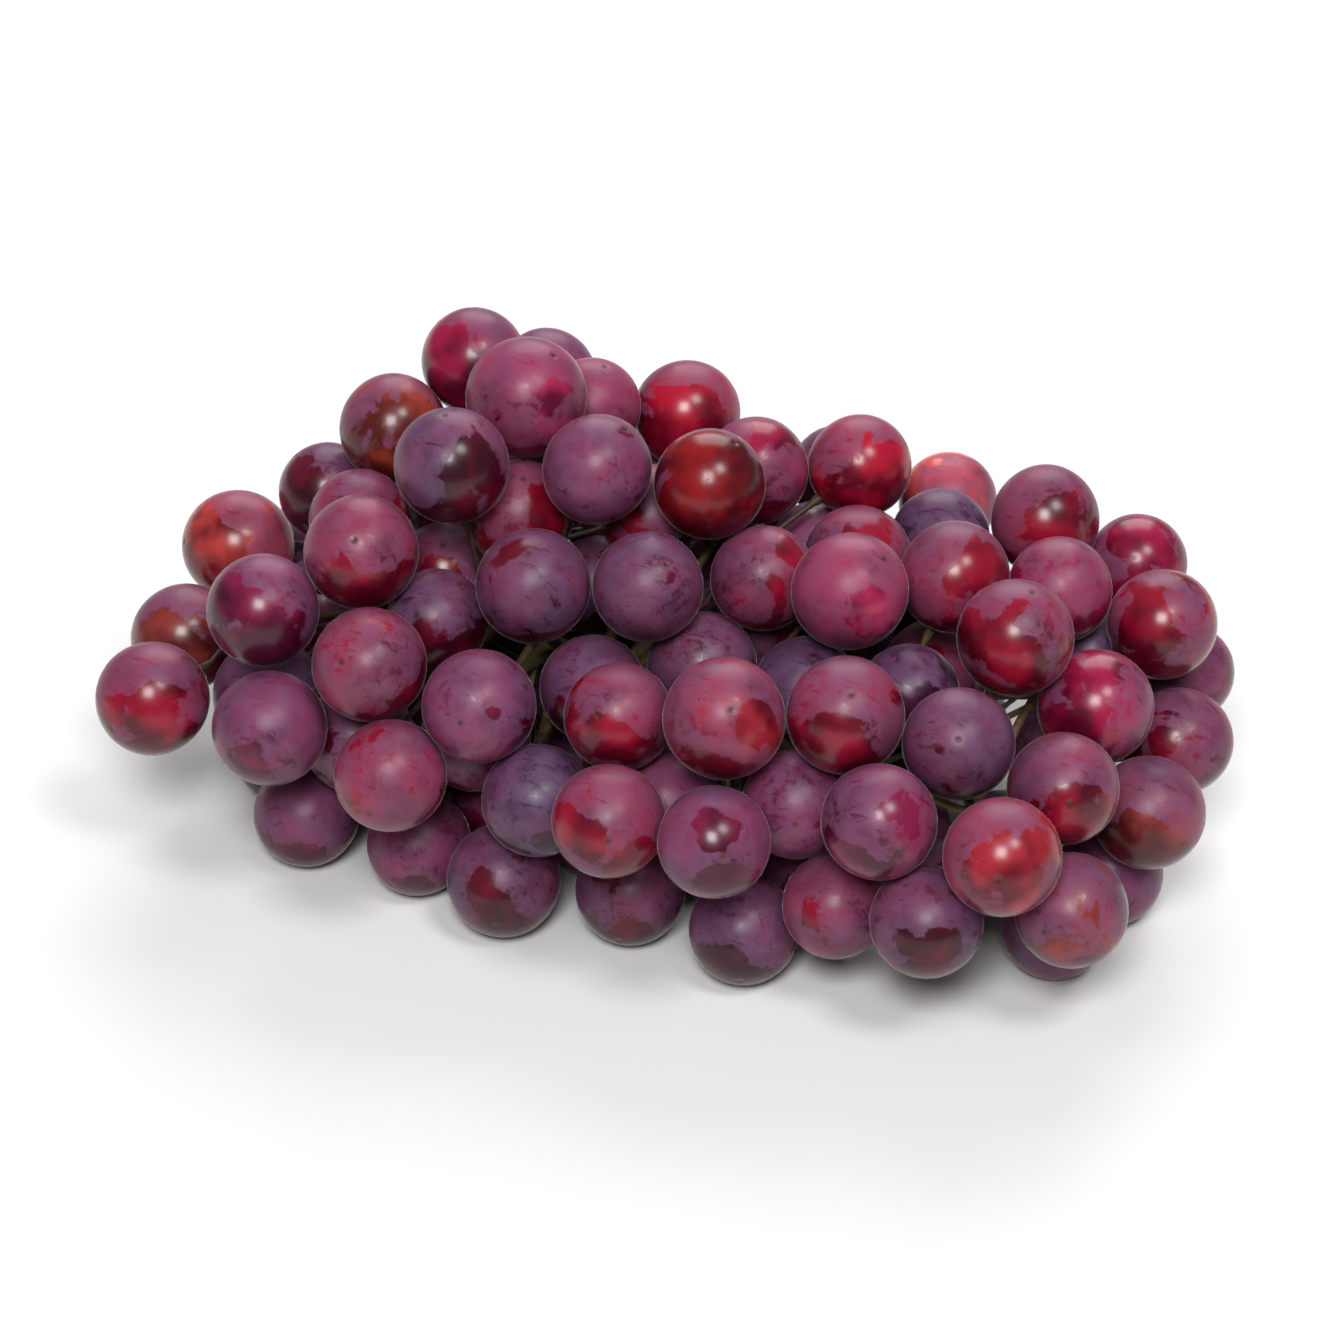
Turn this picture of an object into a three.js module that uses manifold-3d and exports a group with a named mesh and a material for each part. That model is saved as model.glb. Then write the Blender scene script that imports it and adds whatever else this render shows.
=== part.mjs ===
// A bunch of red table grapes as it lies on a flat surface: round berries pressed together in a long
// mound, high at the wide end, held by one branching stem that runs through the gaps between them.
//
// Millimetres, +Z up, z = 0 is the surface. +X runs along the bunch from its wide end to its tip, and
// +Y is the side where the cut stalk comes out. Nothing moves: every berry hangs on its own pedicel.
//
// Each outer berry is a node of its own. The inner ones are joined by seven or so where they press on
// each other, because there are more berries than nodes.
import * as THREE from "three";
import { mergeVertices } from "three/addons/utils/BufferGeometryUtils.js";
import Module from "manifold-3d";

const wasm = await Module();
wasm.setup();

// ---- Driving sizes ----------------------------------------------------------------------------------
const BERRY_DIAMETER = 20; // a berry of size 100; the lists below give each outer berry's own size
const CLEARANCE = 0.3; // between two berries that touch, and between a pedicel and its berry
const PRESSED_FLAT = 0.5; // how deep the surface presses into a berry that lies on it
const STALK_DIAMETER = 5;
const STALK_LENGTH = 48; // from the first branch, inside the bunch, to the cut end
const PEDICEL_DIAMETER = 1.4; // the thinnest branch, which carries one berry
const BRANCH_GROWTH = 0.25; // a branch's diameter grows with this power of the berries that it carries
const COLLAR_DIAMETER = 2.6; // the swelling where a pedicel meets its berry
const PRESS_DIAMETER = 4; // the patch where two joined inner berries press on each other
const CORE_ROOM = STALK_DIAMETER / 2 + 1.5; // from the main stem's line to the nearest berry

// Berries are placed in tenths of this pitch, so the bunch grows with them.
const PITCH = BERRY_DIAMETER + CLEARANCE;

// ---- Where the berries hang -------------------------------------------------------------------------
// Outer berries, side branch by side branch: x, y, z in tenths of a pitch, then the size in hundredths.
const OUTER = {
  wideEnd: [
    [-45, -17, 16, 101],
    [-47, -6, 15, 98],
    [-46, 4, 19, 103],
    [-35, -14, 26, 99],
    [-32, -20, 18, 101],
    [-38, 7, 25, 90],
  ],
  wideFront: [
    [-24, -16, 24, 100],
    [-20, -21, 17, 98],
    [-28, -8, 30, 101],
    [-14, -16, 22, 99],
    [-13, -5, 28, 101],
    [-18, 4, 29, 97],
  ],
  crest: [
    [-22, -1, 36, 102],
    [-32, 9, 32, 98],
    [-27, 16, 36, 96],
    [-19, 9, 38, 108],
    [-16, 17, 33, 90],
    [-10, 3, 36, 96],
  ],
  middleFront: [
    [-8, -17, 14, 98],
    [0, -21, 17, 98],
    [-2, -13, 22, 95],
    [-3, -3, 29, 97],
    [8, -14, 25, 105],
    [10, -22, 18, 96],
  ],
  middleCrest: [
    [5, 4, 28, 93],
    [14, 1, 30, 102],
    [12, 11, 27, 96],
    [0, 6, 34, 98],
    [-9, 23, 30, 98],
    [1, 15, 31, 97],
    [9, 18, 31, 93],
  ],
  tipCrest: [
    [18, -10, 25, 102],
    [21, 9, 28, 98],
    [15, 28, 23, 90],
    [26, 22, 27, 98],
    [30, 13, 26, 93],
    [29, 2, 28, 101],
  ],
  tipFront: [
    [23, -17, 20, 99],
    [27, -8, 23, 97],
    [36, -7, 20, 97],
    [34, -17, 19, 101],
    [39, -13, 12, 98],
  ],
  tipEnd: [
    [34, 24, 23, 90],
    [39, 14, 24, 97],
    [36, 4, 21, 101],
    [42, 11, 14, 96],
    [42, 1, 13, 99],
  ],
};

// Berries of the second layer, which show only in the gaps between the outer ones.
const INNER = [
  [-45, 12, 13, 92],
  [-31, 0, 27, 93],
  [-22, -6, 23, 92],
  [-25, 3, 21, 93],
  [-22, 21, 31, 93],
  [-7, 9, 28, 92],
  [-12, 8, 20, 90],
  [-7, -6, 19, 95],
  [2, -1, 21, 97],
  [3, 8, 20, 93],
  [14, -12, 16, 95],
  [11, -1, 20, 95],
  [6, 17, 22, 92],
  [5, 25, 25, 92],
  [20, 0, 21, 90],
  [17, 19, 25, 89],
  [40, 20, 15, 90],
  [32, 14, 18, 94],
  [31, 10, 11, 94],
  [28, -18, 12, 97],
  [19, -16, 9, 92],
];

// The main stem's line, from the first branch at the back of the wide end to the tip, in tenths.
const CORE_LINE = [
  [-28, 8, 15],
  [-16, 1, 16],
  [0, 1, 14],
  [16, 2, 13],
  [31, 2, 13],
];
// The cut stalk leaves the first branch this way and droops to the surface.
const STALK_WAY = [-0.75, 0.5, -0.5];

// Staggered rows for the berries underneath and inside: height, half length and half width of a layer.
const HIDDEN_LAYERS = [
  { z: 5, halfLength: 43, halfWidth: 22 },
  { z: 14, halfLength: 41, halfWidth: 24 },
  { z: 23, halfLength: 36, halfWidth: 21 },
];
const GROUP_SIZE = 7; // inner berries that are joined into one node
const TOUCHING = 1.2; // of a pitch between two centres: near enough to press on each other
const MIDDLE = { x: -1, y: 3 }; // the middle of those layers
const ROW_STEP = 10.2; // between two berries of a row
const ROW_GAP = 8.9; // between two rows
const STRAY = 4; // how far a berry strays from its row
const SMALLEST = 93; // an inner berry's size in hundredths
const SIZE_SPREAD = 9; // and how much more the largest one has
const LAYER_EDGE = 1.08; // how far past its layer's oval a berry's middle may lie
const OWN_ROOM = 0.8 * PITCH; // an inner berry's least distance from an outer one, before they settle
const CORE_GAP = 0.62 * PITCH; // and from the main stem's line
const SETTLE = {
  rounds: 900,
  pull: 0.02, // how much of the way back to its own place an outer berry is drawn in a round
  pulledShare: 0.8, // of the rounds; in the others nothing is drawn back
  spare: 0.002, // how much further apart than needed two berries are pushed
};

// ---- Placing the berries ----------------------------------------------------------------------------
const tenths = ([x, y, z]) => new THREE.Vector3(x, y, z).multiplyScalar(PITCH / 10);

const coreLine = new THREE.CatmullRomCurve3(CORE_LINE.map(tenths));
const stalkStart = coreLine.getPoint(0);
const stalkEnd = stalkStart
  .clone()
  .addScaledVector(new THREE.Vector3(...STALK_WAY).normalize(), STALK_LENGTH);
const stalkBend = new THREE.Vector3(...STALK_WAY).setZ(0).multiplyScalar(STALK_LENGTH * 0.6).add(stalkStart);
const stalkLine = new THREE.QuadraticBezierCurve3(stalkStart, stalkBend, stalkEnd);
const keptFree = [...stalkLine.getSpacedPoints(12), ...coreLine.getSpacedPoints(60)];

// The point of the stalk's and main stem's line that is nearest to a place.
function nearestStem(place) {
  return keptFree.reduce((best, p) => (p.distanceTo(place) < best.distanceTo(place) ? p : best));
}

// half is half of the pitch that the berry takes up, so its radius and half of the clearance.
function makeBerry([x, y, z, size], { outer = false, onSurface = false } = {}) {
  const half = (size / 200) * PITCH;
  const radius = half - CLEARANCE / 2;
  return { home: tenths([x, y, z]), centre: tenths([x, y, z]), half, radius, outer, onSurface };
}

// A share from 0 to 1 that changes from one whole number to the next.
const varied = (number) => ((number + 90) % 9) / 8;

// The berries underneath and inside, left out where a listed one is and where the main stem runs.
function hiddenBerries(listed) {
  const found = [];
  HIDDEN_LAYERS.forEach(({ z, halfLength, halfWidth }, layer) => {
    for (let row = -3; row <= 3; row++)
      for (let step = -5; step <= 5; step++) {
        const [along, across, grade] = [3, 5, 7].map((by) => varied(by * step + 11 * row + 4 * layer));
        const x = MIDDLE.x + (step + (row & 1) / 2 + (layer & 1) / 2) * ROW_STEP + (along - 0.5) * STRAY;
        const y = MIDDLE.y + (row + (layer & 1) / 3) * ROW_GAP + (across - 0.5) * STRAY;
        const size = SMALLEST + SIZE_SPREAD * grade;
        const berry = makeBerry([x, y, z, size], { onSurface: layer === 0 });
        const out = Math.hypot((x - MIDDLE.x) / halfLength, (y - MIDDLE.y) / halfWidth) > LAYER_EDGE;
        const far = (other) => other.home.distanceTo(berry.home) > OWN_ROOM;
        const inCore = nearestStem(berry.home).distanceTo(berry.home) < CORE_GAP;
        if (!out && !inCore && listed.every(far)) found.push(berry);
      }
  });
  return found;
}

// Pushes the berries apart until none overlap, while each is drawn a little to its own place.
function settle(berries) {
  const way = new THREE.Vector3();
  for (let round = 0; round < SETTLE.rounds; round++) {
    const pull = round < SETTLE.rounds * SETTLE.pulledShare ? SETTLE.pull : 0;
    for (const berry of berries) berry.centre.lerp(berry.home, berry.outer ? pull : pull / 4);
    for (let i = 0; i < berries.length; i++)
      for (let j = i + 1; j < berries.length; j++) {
        const [a, b] = [berries[i], berries[j]];
        const short = a.half + b.half - way.subVectors(b.centre, a.centre).length();
        if (short <= 0) continue;
        const share = a.outer === b.outer ? 0.5 : a.outer ? 0.3 : 0.7;
        a.centre.addScaledVector(way.setLength(short + SETTLE.spare), -share);
        b.centre.addScaledVector(way, 1 - share);
      }
    for (const berry of berries) {
      way.subVectors(berry.centre, nearestStem(berry.centre));
      const short = berry.half + CORE_ROOM - way.length();
      if (short > 0) berry.centre.add(way.setLength(short));
      const lowest = berry.radius - PRESSED_FLAT;
      berry.centre.z = berry.onSurface ? lowest : Math.max(berry.centre.z, lowest);
    }
  }
}

// ---- The stem's way through the gaps ----------------------------------------------------------------
const CELL = BERRY_DIAMETER / 16; // the fineness with which the gaps are searched
const SHELL = 1.5 * CELL; // how far from its berry a pedicel may turn

// The distance from a point to the nearest ball, a berry or a patch where two press on each other, or
// to the surface below.
function roomAt(point, balls) {
  let least = point.z;
  for (const { centre, radius } of balls) least = Math.min(least, point.distanceTo(centre) - radius);
  return least;
}

// A grid over the bunch with the room at each of its points.
function makeGrid(balls) {
  const box = new THREE.Box3().setFromPoints(balls.map((ball) => ball.centre));
  box.expandByScalar(BERRY_DIAMETER);
  const low = box.min;
  const counts = box.getSize(new THREE.Vector3()).divideScalar(CELL).ceil();
  const [nx, ny, nz] = counts.toArray();
  const room = new Float32Array(nx * ny * nz);
  const place = (index) =>
    new THREE.Vector3(index % nx, Math.floor(index / nx) % ny, Math.floor(index / (nx * ny)))
      .multiplyScalar(CELL)
      .add(low);
  const indexAt = (p) => {
    const [i, j, k] = [p.x - low.x, p.y - low.y, p.z - low.z].map((d) => Math.round(d / CELL));
    return i + nx * (j + ny * k);
  };
  for (let index = 0; index < room.length; index++) {
    const p = place(index);
    room[index] = roomAt(p, balls);
  }
  const steps = [];
  for (const dz of [-1, 0, 1])
    for (const dy of [-1, 0, 1])
      for (const dx of [-1, 0, 1])
        if (dx || dy || dz)
          steps.push({ by: dx + nx * (dy + ny * dz), length: CELL * Math.hypot(dx, dy, dz) });
  return { room, place, indexAt, steps };
}

// A heap of [cost, index] pairs, cheapest first.
class Heap {
  items = [];
  push(item) {
    const { items } = this;
    let at = items.push(item) - 1;
    while (at > 0 && items[(at - 1) >> 1][0] > item[0]) {
      items[at] = items[(at - 1) >> 1];
      at = (at - 1) >> 1;
    }
    items[at] = item;
  }
  pop() {
    const { items } = this;
    const top = items[0];
    const last = items.pop();
    if (!items.length) return top;
    let at = 0;
    for (;;) {
      let child = 2 * at + 1;
      if (child + 1 < items.length && items[child + 1][0] < items[child][0]) child++;
      if (child >= items.length || items[child][0] >= last[0]) break;
      items[at] = items[child];
      at = child;
    }
    items[at] = last;
    return top;
  }
}

// The cheapest way from the first branch to every free grid point. Going along the main stem's line is
// cheap and squeezing through a narrow gap is dear, so that the ways share the wide gaps.
function searchWays(grid, start) {
  const { room, place, indexAt, steps } = grid;
  const narrowest = PEDICEL_DIAMETER / 2 + CLEARANCE;
  const cost = new Float64Array(room.length).fill(Infinity);
  const before = new Int32Array(room.length).fill(-1);
  const first = indexAt(start);
  cost[first] = 0;
  const heap = new Heap();
  heap.push([0, first]);
  while (heap.items.length) {
    const [spent, here] = heap.pop();
    if (spent > cost[here]) continue;
    const off = nearestStem(place(here)).distanceTo(place(here));
    if (off > 2 * CORE_ROOM && room[here] > BERRY_DIAMETER / 4) continue; // out in the open
    const onCore = off < CELL;
    for (const { by, length } of steps) {
      const next = here + by;
      if (!(room[next] >= narrowest)) continue;
      const tight = Math.max(0, 2 - room[next] / narrowest);
      const total = spent + length * (onCore ? 0.3 : 1 + tight);
      if (total < cost[next]) {
        cost[next] = total;
        before[next] = here;
        heap.push([total, next]);
      }
    }
  }
  return { cost, before, first };
}

// Gives each berry the grid point where its pedicel turns, the cheapest one near its skin, and counts
// the berries that each grid point's branch carries.
function hangBerries(berries, grid, ways) {
  const carried = new Map();
  for (const berry of berries) {
    const reach = Math.ceil((berry.radius + 2 * SHELL) / CELL) * CELL;
    let best = -1;
    for (let dz = -reach; dz <= reach; dz += CELL)
      for (let dy = -reach; dy <= reach; dy += CELL)
        for (let dx = -reach; dx <= reach; dx += CELL) {
          const index = grid.indexAt(new THREE.Vector3(dx, dy, dz).add(berry.centre));
          if (!(ways.cost[index] < (ways.cost[best] ?? Infinity))) continue;
          const off = grid.place(index).distanceTo(berry.centre) - berry.radius;
          if (off > SHELL && off < 2 * SHELL) best = index;
        }
    if (best < 0) throw new Error("no way to a berry");
    berry.turn = best;
    berry.stemSide = grid.place(best).sub(berry.centre).normalize();
    for (let at = best; at >= 0; at = ways.before[at]) carried.set(at, (carried.get(at) ?? 0) + 1);
  }
  return carried;
}

// The room along a straight stretch: the least distance from it to a ball.
function roomBetween(a, b, balls) {
  const line = new THREE.Line3(a, b);
  const near = new THREE.Vector3();
  let least = Math.min(a.z, b.z);
  for (const { centre, radius } of balls) {
    line.closestPointToPoint(centre, true, near);
    least = Math.min(least, near.distanceTo(centre) - radius);
  }
  return least;
}

// Leaves out the points that a straight stretch can pass without coming nearer to a ball.
function straighten(points, balls) {
  const kept = [points[0]];
  let at = 0;
  while (at < points.length - 1) {
    let to = points.length - 1;
    for (; to > at + 1; to--) {
      const need = Math.min(...points.slice(at, to + 1).map((p) => Math.min(p.room, p.wanted + CLEARANCE)));
      if (roomBetween(points[at].place, points[to].place, balls) >= need) break;
    }
    kept.push(points[to]);
    at = to;
  }
  return kept;
}

// The point of a parent branch that is nearest to a place.
function nearestOnLine(places, place) {
  let best = places[0];
  for (let i = 1; i < places.length; i++) {
    const stretch = new THREE.Line3(places[i - 1], places[i]);
    const near = stretch.closestPointToPoint(place, true, new THREE.Vector3());
    if (near.distanceTo(place) < best.distanceTo(place)) best = near;
  }
  return best;
}

// Follows the ways from the first branch outwards. A branch goes on into whichever shoot carries most
// and ends in a pedicel; the other shoots start from it as branches of their own.
function growBranches(berries, balls, grid, ways, carried) {
  const after = new Map();
  for (const at of carried.keys()) after.set(at, []);
  for (const at of carried.keys()) if (ways.before[at] >= 0) after.get(ways.before[at]).push(at);
  const hung = new Map([...carried.keys()].map((at) => [at, []]));
  for (const berry of berries) hung.get(berry.turn).push(berry);
  const grown = [];
  const waiting = [{ cells: [ways.first] }];
  while (waiting.length) {
    let { cells, parent, berry } = waiting.pop();
    const shoots = [];
    while (!berry) {
      const at = cells.at(-1);
      const [most, ...others] = after.get(at).sort((a, b) => carried.get(b) - carried.get(a));
      const here = [...hung.get(at)];
      if (most === undefined) berry = here.pop();
      else cells.push(most);
      shoots.push(...others.map((cell) => ({ cells: [at, cell] })));
      shoots.push(...here.map((one) => ({ cells: [at], berry: one })));
    }
    const points = cells.map((cell) => {
      const wanted = (PEDICEL_DIAMETER / 2) * carried.get(cell) ** BRANCH_GROWTH;
      return { place: grid.place(cell), room: grid.room[cell], wanted };
    });
    if (parent) {
      const start = nearestOnLine(parent, points[0].place);
      points.unshift({ place: start, room: roomAt(start, balls), wanted: points[0].wanted });
    }
    const kept = straighten(points, balls);
    const places = kept.map((point) => point.place);
    const radii = kept.map((point, i) => {
      const sides = [places[i - 1], places[i + 1]].filter(Boolean);
      const least = Math.min(point.room, ...sides.map((side) => roomBetween(point.place, side, balls)));
      return Math.min(point.wanted, least - CLEARANCE);
    });
    const others = balls.filter((other) => other !== berry);
    const end = berry.centre.clone().addScaledVector(berry.stemSide, berry.radius + CLEARANCE);
    places.push(end);
    radii.push(Math.min(COLLAR_DIAMETER / 2, roomAt(end, others) - CLEARANCE));
    grown.push({ places, radii });
    for (const shoot of shoots) waiting.push({ ...shoot, parent: places.slice(0, -1) });
  }
  return grown;
}

// ---- Solids -----------------------------------------------------------------------------------------
function toSolid(geometry, nearness = 1e-4) {
  const bare = geometry.index ? geometry.toNonIndexed() : geometry.clone();
  bare.deleteAttribute("normal");
  bare.deleteAttribute("uv");
  const merged = mergeVertices(bare, nearness);
  return new wasm.Manifold(
    new wasm.Mesh({
      numProp: 3,
      vertProperties: new Float32Array(merged.attributes.position.array),
      triVerts: new Uint32Array(merged.index.array),
    }),
  );
}

function toGeometry(solid) {
  const { vertProperties, triVerts } = solid.getMesh();
  const geometry = new THREE.BufferGeometry();
  geometry.setAttribute("position", new THREE.BufferAttribute(vertProperties, 3));
  geometry.setIndex(new THREE.BufferAttribute(triVerts, 1));
  geometry.computeVertexNormals();
  return geometry;
}

// Several solids as one, with corners that fall together merged and specks that this cuts off left out.
function join(solids) {
  const whole = toSolid(toGeometry(solids.reduce((sum, solid) => sum.add(solid))), 2e-3);
  return whole.decompose().sort((a, b) => b.volume() - a.volume())[0];
}

// A line straight from point to point, the same share of it for each stretch.
class Way extends THREE.Curve {
  constructor(places) {
    super();
    this.places = places;
  }
  getPoint(t, target = new THREE.Vector3()) {
    const at = t * (this.places.length - 1);
    const i = Math.min(Math.floor(at), this.places.length - 2);
    return target.lerpVectors(this.places[i], this.places[i + 1], at - i);
  }
  getUtoTmapping(u) {
    return u;
  }
}

// A branch through the given places, with its own radius at each.
function branch(places, radii, sides) {
  const section = new THREE.Shape(
    Array.from({ length: sides }, (_, k) => {
      const turn = (2 * Math.PI * k) / sides;
      return new THREE.Vector2(0.5 * Math.cos(turn), 0.5 * Math.sin(turn));
    }),
  );
  const steps = places.length - 1;
  const geometry = new THREE.ExtrudeGeometry(section, { steps, extrudePath: new Way(places) });
  const corners = geometry.attributes.position;
  const corner = new THREE.Vector3();
  for (let i = 0; i < corners.count; i++) {
    corner.fromBufferAttribute(corners, i);
    const off = places.map((place) => place.distanceTo(corner));
    const ring = off.indexOf(Math.min(...off));
    corner.sub(places[ring]).multiplyScalar(radii[ring] / 0.5).add(places[ring]);
    corners.setXYZ(i, corner.x, corner.y, corner.z);
  }
  return toSolid(geometry);
}

function stemSolid(berries, patches) {
  const balls = [...berries, ...patches];
  const grid = makeGrid(balls);
  const ways = searchWays(grid, stalkStart);
  const carried = hangBerries(berries, grid, ways);
  const grown = growBranches(berries, balls, grid, ways, carried);
  const stalkPlaces = [...stalkLine.getSpacedPoints(5).reverse(), coreLine.getPoint(0.03)];
  const stalk = branch(stalkPlaces, stalkPlaces.map(() => STALK_DIAMETER / 2), 8);
  const solids = grown.map(({ places, radii }) => branch(places, radii, radii[0] > 1.2 ? 6 : 4));
  return join([stalk, ...solids]);
}

// One berry with a corner towards its pedicel, or towards the surface that presses it flat.
function berrySolid(berry, rounds, rings) {
  const geometry = new THREE.SphereGeometry(berry.radius, rounds, rings);
  const corner = berry.onSurface ? new THREE.Vector3(0, 0, -1) : berry.stemSide;
  geometry.applyQuaternion(new THREE.Quaternion().setFromUnitVectors(new THREE.Vector3(0, 1, 0), corner));
  const ball = toSolid(geometry.translate(...berry.centre.toArray()));
  if (berry.centre.z > berry.radius) return ball;
  const size = 2 * BERRY_DIAMETER;
  const under = new THREE.BoxGeometry(size, size, size).translate(berry.centre.x, berry.centre.y, -size / 2);
  return ball.subtract(toSolid(under));
}

// Groups of inner berries that lie against each other, each grown from the one furthest to the wide
// end that is still left, by the nearest to the group's middle.
function groupBerries(inner) {
  const touches = (group, one) => group.some((b) => b.centre.distanceTo(one.centre) < TOUCHING * PITCH);
  const left = [...inner].sort((a, b) => a.home.x - b.home.x);
  const groups = [];
  while (left.length) {
    const group = [left.shift()];
    while (group.length < GROUP_SIZE) {
      const middle = new THREE.Vector3();
      for (const { home } of group) middle.addScaledVector(home, 1 / group.length);
      const touching = left
        .filter((one) => touches(group, one))
        .sort((a, b) => a.home.distanceTo(middle) - b.home.distanceTo(middle));
      if (!touching.length) break;
      group.push(...left.splice(left.indexOf(touching[0]), 1));
    }
    const near = groups.filter((other) => group.some((one) => touches(other, one)));
    const host = near.sort((a, b) => a.length - b.length)[0];
    if (group.length < 4 && host) host.push(...group);
    else groups.push(group);
  }
  return groups;
}

// Where the berries of a group press on each other: each one after the first on the nearest before it.
function pressPatches(group) {
  const out = [...group];
  const done = [out.shift()];
  const patches = [];
  while (out.length) {
    const gapOf = (a, b) => a.centre.distanceTo(b.centre) - a.half - b.half;
    const pairs = done.flatMap((a) => out.map((b) => ({ a, b, gap: gapOf(a, b) })));
    const { a, b, gap } = pairs.reduce((best, pair) => (pair.gap < best.gap ? pair : best));
    const centre = a.centre.clone().lerp(b.centre, (a.half + gap / 2) / (a.half + b.half + gap));
    patches.push({ a, b, centre, radius: PRESS_DIAMETER / 2 });
    done.push(...out.splice(out.indexOf(b), 1));
  }
  return patches;
}

// A group as one solid, joined through its patches.
const groupSolid = (group, patches) =>
  join([
    ...group.map((berry) => berrySolid(berry, 7, 5)),
    ...patches.map(({ a, b, radius }) => post(a.centre, b.centre, radius, 3)),
  ]);

// A straight prism from one point to another.
function post(from, to, radius, sides) {
  const geometry = new THREE.CylinderGeometry(radius, radius, from.distanceTo(to), sides);
  const way = new THREE.Vector3().subVectors(to, from).normalize();
  geometry.applyQuaternion(new THREE.Quaternion().setFromUnitVectors(new THREE.Vector3(0, 1, 0), way));
  return toSolid(geometry.translate(...new THREE.Vector3().lerpVectors(from, to, 0.5).toArray()));
}

// ---- The bunch --------------------------------------------------------------------------------------
const skin = (hue, light) =>
  new THREE.MeshStandardMaterial({
    color: new THREE.Color().setHSL(hue, 0.42, light),
    roughness: 0.4,
    metalness: 0,
  });
const wood = new THREE.MeshStandardMaterial({ color: 0x8a7440, roughness: 0.8, metalness: 0 });

const listed = [
  ...Object.values(OUTER).flat().map((place) => makeBerry(place, { outer: true })),
  ...INNER.map((place) => makeBerry(place)),
];
const berries = [...listed, ...hiddenBerries(listed)];
settle(berries);

const groups = groupBerries(berries.filter((berry) => !berry.outer));
const patches = groups.map(pressPatches);

const bunch = new THREE.Group();
function addNode(name, solid, material) {
  const mesh = new THREE.Mesh(toGeometry(solid), material);
  mesh.name = name;
  bunch.add(mesh);
}
const numbered = (name, i) => `${name}_${String(i + 1).padStart(2, "0")}`;

addNode("stem", stemSolid(berries, patches.flat()), wood);
berries
  .filter((berry) => berry.outer)
  .forEach((berry, i) => {
    addNode(numbered("berry", i), berrySolid(berry, 8, 6), skin(0.93 + (i % 5) / 60, 0.3));
  });
groups.forEach((group, i) =>
  addNode(numbered("inner_berries", i), groupSolid(group, patches[i]), skin(0.9, 0.22)),
);

// The origin is on the surface, under the middle of the bunch.
const middle = new THREE.Box3().setFromObject(bunch).getCenter(new THREE.Vector3());
bunch.position.set(-middle.x, -middle.y, 0);

export default bunch;
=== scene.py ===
# %% [markdown]
# # A bunch of red table grapes
#
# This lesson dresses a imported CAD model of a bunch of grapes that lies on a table. The model gives
# every berry as a coarse faceted ball and the stem as one branching solid. Here each ball becomes a
# soft, slightly uneven fruit with a waxy bloom, and the stem becomes a woody twig.
#
# All lengths are metres. The bunch lies along X on the table, z = 0, its front looks along -Y, and the
# cut stalk comes out low at the back.

import math

import bpy
import numpy as np
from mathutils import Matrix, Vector


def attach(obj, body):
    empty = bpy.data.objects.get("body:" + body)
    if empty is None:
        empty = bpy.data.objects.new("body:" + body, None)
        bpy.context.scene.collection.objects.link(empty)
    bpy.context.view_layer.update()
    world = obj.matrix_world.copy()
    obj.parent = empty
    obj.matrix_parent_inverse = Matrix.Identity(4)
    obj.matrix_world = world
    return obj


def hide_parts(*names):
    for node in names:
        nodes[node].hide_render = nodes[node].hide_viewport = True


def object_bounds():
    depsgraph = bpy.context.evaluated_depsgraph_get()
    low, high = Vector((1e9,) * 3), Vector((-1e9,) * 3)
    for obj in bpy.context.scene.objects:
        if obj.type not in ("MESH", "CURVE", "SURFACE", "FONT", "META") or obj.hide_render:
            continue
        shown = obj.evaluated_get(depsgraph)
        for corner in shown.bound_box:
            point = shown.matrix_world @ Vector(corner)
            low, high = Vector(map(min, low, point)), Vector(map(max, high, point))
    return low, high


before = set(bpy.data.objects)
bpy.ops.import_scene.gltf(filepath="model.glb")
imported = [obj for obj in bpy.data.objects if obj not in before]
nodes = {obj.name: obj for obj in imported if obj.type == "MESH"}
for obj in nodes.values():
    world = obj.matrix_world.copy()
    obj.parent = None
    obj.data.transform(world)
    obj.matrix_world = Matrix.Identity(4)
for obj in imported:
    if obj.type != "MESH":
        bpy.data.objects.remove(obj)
bpy.context.view_layer.update()
cad_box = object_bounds()
MM = 0.001
print("nodes:", len(nodes), "CAD box:", [[round(c / MM, 1) for c in corner] for corner in cad_box])

# %% [markdown]
# ## The camera
#
# A product shot of fruit is taken from a little above, with a long lens so that the far berries stay
# nearly as large as the near ones. The camera looks at a point just under the middle of the bunch.
# It is made first, because everything after it can then be judged through it.

# %% Camera
AZIMUTH = 20.2  # degrees to the right of the bunch's front
ELEVATION = 35.2  # degrees above the table
DISTANCE = 0.835
LENS = 122  # millimetres, for a sensor as wide as the next value
SENSOR_WIDTH = 36
CLIP_START = 0.01
AIM_FROM_MIDDLE = Vector((-0.0062, 0.0100, -0.0175))


def direction_to(azimuth, elevation):
    """The unit vector toward an azimuth and an elevation, both in degrees; azimuth 0 is -Y."""
    a, e = math.radians(azimuth), math.radians(elevation)
    return Vector((math.sin(a) * math.cos(e), -math.cos(a) * math.cos(e), math.sin(e)))


def place_facing(thing, target, way, distance):
    """Puts a camera or a lamp at target + way times distance, looking back at the target."""
    thing.location = target + way * distance
    thing.rotation_mode = "QUATERNION"
    thing.rotation_quaternion = (-way).to_track_quat("-Z", "Y")
    bpy.context.collection.objects.link(thing)


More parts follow.
